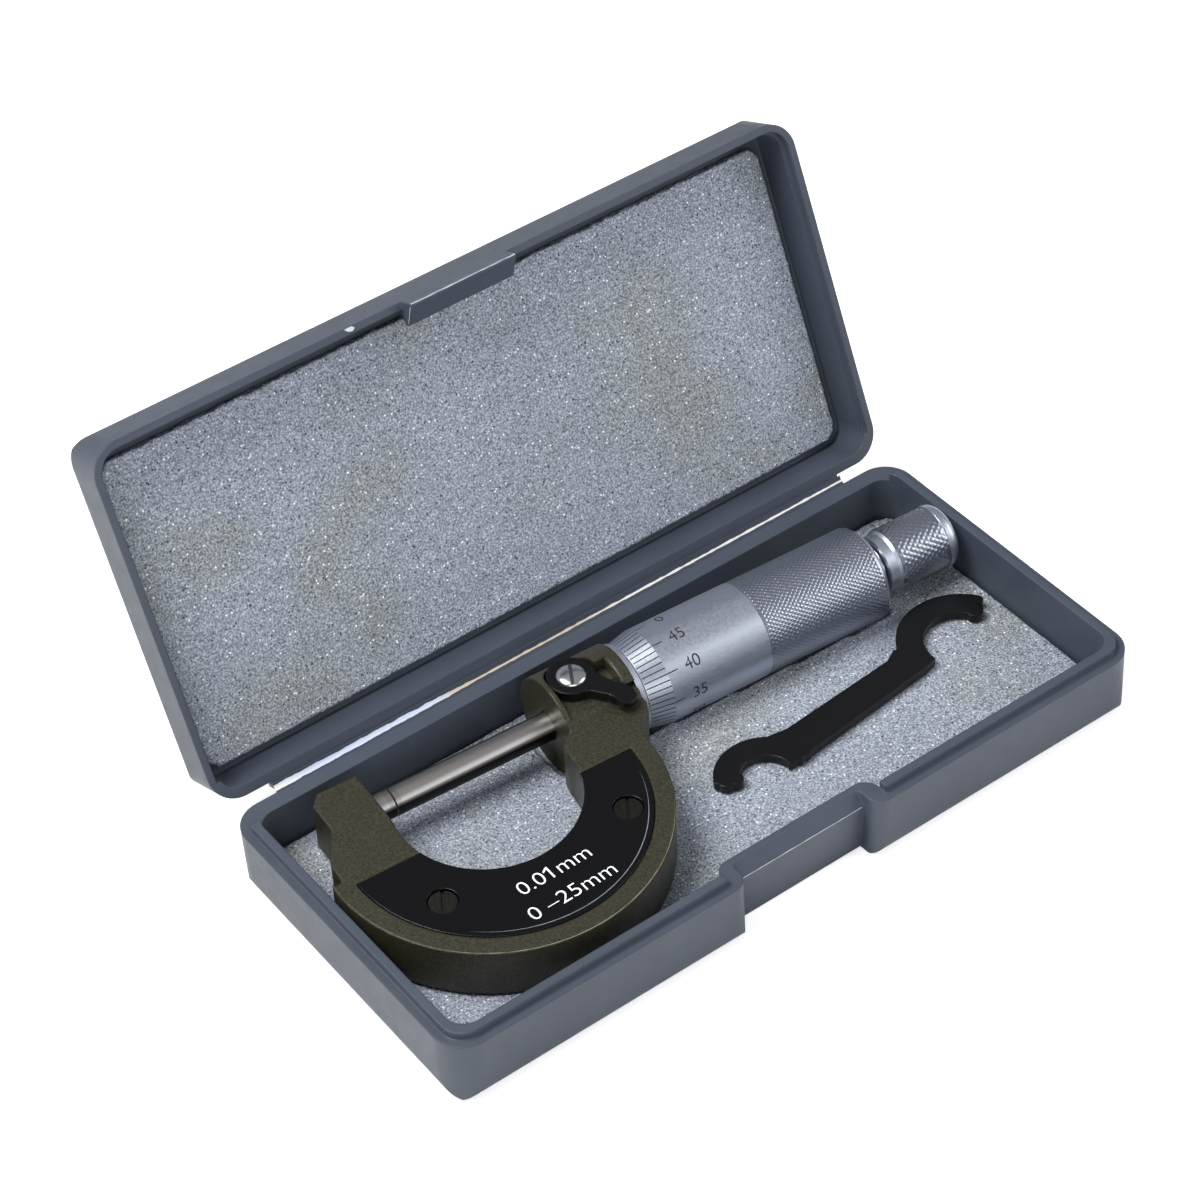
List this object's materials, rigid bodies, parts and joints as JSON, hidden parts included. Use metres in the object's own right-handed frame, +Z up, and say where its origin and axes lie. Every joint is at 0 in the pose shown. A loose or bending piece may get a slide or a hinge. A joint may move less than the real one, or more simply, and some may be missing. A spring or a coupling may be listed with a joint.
{
  "type": "micrometer case",
  "caption": "Rectangular moulded case with a film-hinged lid, snap tab and foam pads, holding a C-frame micrometer and a flat hook spanner.",
  "frame": {"origin": "centre of the tray's underside, on the table plane", "axes": "+X along the case and its hinge line towards the ratchet end, +Y from the latch to the hinge, +Z up"},
  "size_m": [0.14, 0.1009, 0.0734],
  "materials": {
    "case_plastic": "moulded, fine satin grain",
    "hinge_film": "stress-whitened web",
    "foam": "open-cell foam",
    "frame_enamel": "olive hammered enamel",
    "cover_plate": "gloss",
    "dark_screw": "blackened, slotted",
    "satin_chrome": "satin chrome",
    "bright_chrome": "bright",
    "polished_steel": "ground and polished",
    "carbide": "lapped",
    "brass": "plain",
    "black_steel": "black oxide"
  },
  "bodies": {
    "case": {"base_tray": "case_plastic", "hinge_film": "hinge_film", "base_foam": "foam"},
    "lid": {"lid_shell": "case_plastic", "lid_foam": "foam"},
    "micrometer": {"micrometer_frame": "frame_enamel", "anvil": "polished_steel", "anvil_tip": "carbide", "front_plate": "cover_plate", "rear_plate": "cover_plate", "front_plate_screws": "dark_screw", "rear_plate_screws": "dark_screw", "sleeve": "satin_chrome", "spindle_nut": "brass", "adjusting_nut": "satin_chrome", "lock_pad": "brass"},
    "spindle": {"spindle": "polished_steel", "spindle_tip": "carbide"},
    "thimble": {"thimble": "satin_chrome", "ratchet_stem": "bright_chrome"},
    "ratchet": {"ratchet_knob": "satin_chrome", "ratchet_spring": "polished_steel", "ratchet_pin": "polished_steel"},
    "lock": {"lock_lever": "black_steel", "lock_screw": "bright_chrome"},
    "spanner": {"spanner": "black_steel"}
  },
  "joints": [
    {"name": "lid_hinge", "type": "hinge", "parent": "case", "child": "lid", "pos_m": [0, 0.0335, 0.012], "axis": [-1, 0, 0], "range_deg": [-112.9, 66], "deforming": ["hinge_film"]},
    {"name": "micrometer_lift", "type": "slide", "parent": "case", "child": "micrometer", "axis": [0, 0, 1], "range_m": [0, 0.06]},
    {"name": "spindle_travel", "type": "slide", "parent": "micrometer", "child": "spindle", "axis": [0.9978, -0.0658, 0], "range_m": [0, 0.001]},
    {"name": "thimble_turn", "type": "hinge", "parent": "spindle", "child": "thimble", "pos_m": [0.01327, 0.01596, 0.011], "axis": [0.9978, -0.0658, 0], "range_deg": [0, 720]},
    {"name": "ratchet_turn", "type": "hinge", "parent": "thimble", "child": "ratchet", "pos_m": [0.05318, 0.01333, 0.011], "axis": [0.9978, -0.0658, 0], "continuous": true},
    {"name": "lock_turn", "type": "hinge", "parent": "micrometer", "child": "lock", "pos_m": [-0.01063, 0.0182, 0.01703], "axis": [-0.0025, -0.0383, 0.9993], "range_deg": [-50, 5]},
    {"name": "spanner_lift", "type": "slide", "parent": "case", "child": "spanner", "axis": [0, 0, 1], "range_m": [0, 0.06]}
  ],
  "couplings": [
    {"joint": "thimble_turn", "follows": "spindle_travel", "rad_per_m": 12566}
  ]
}
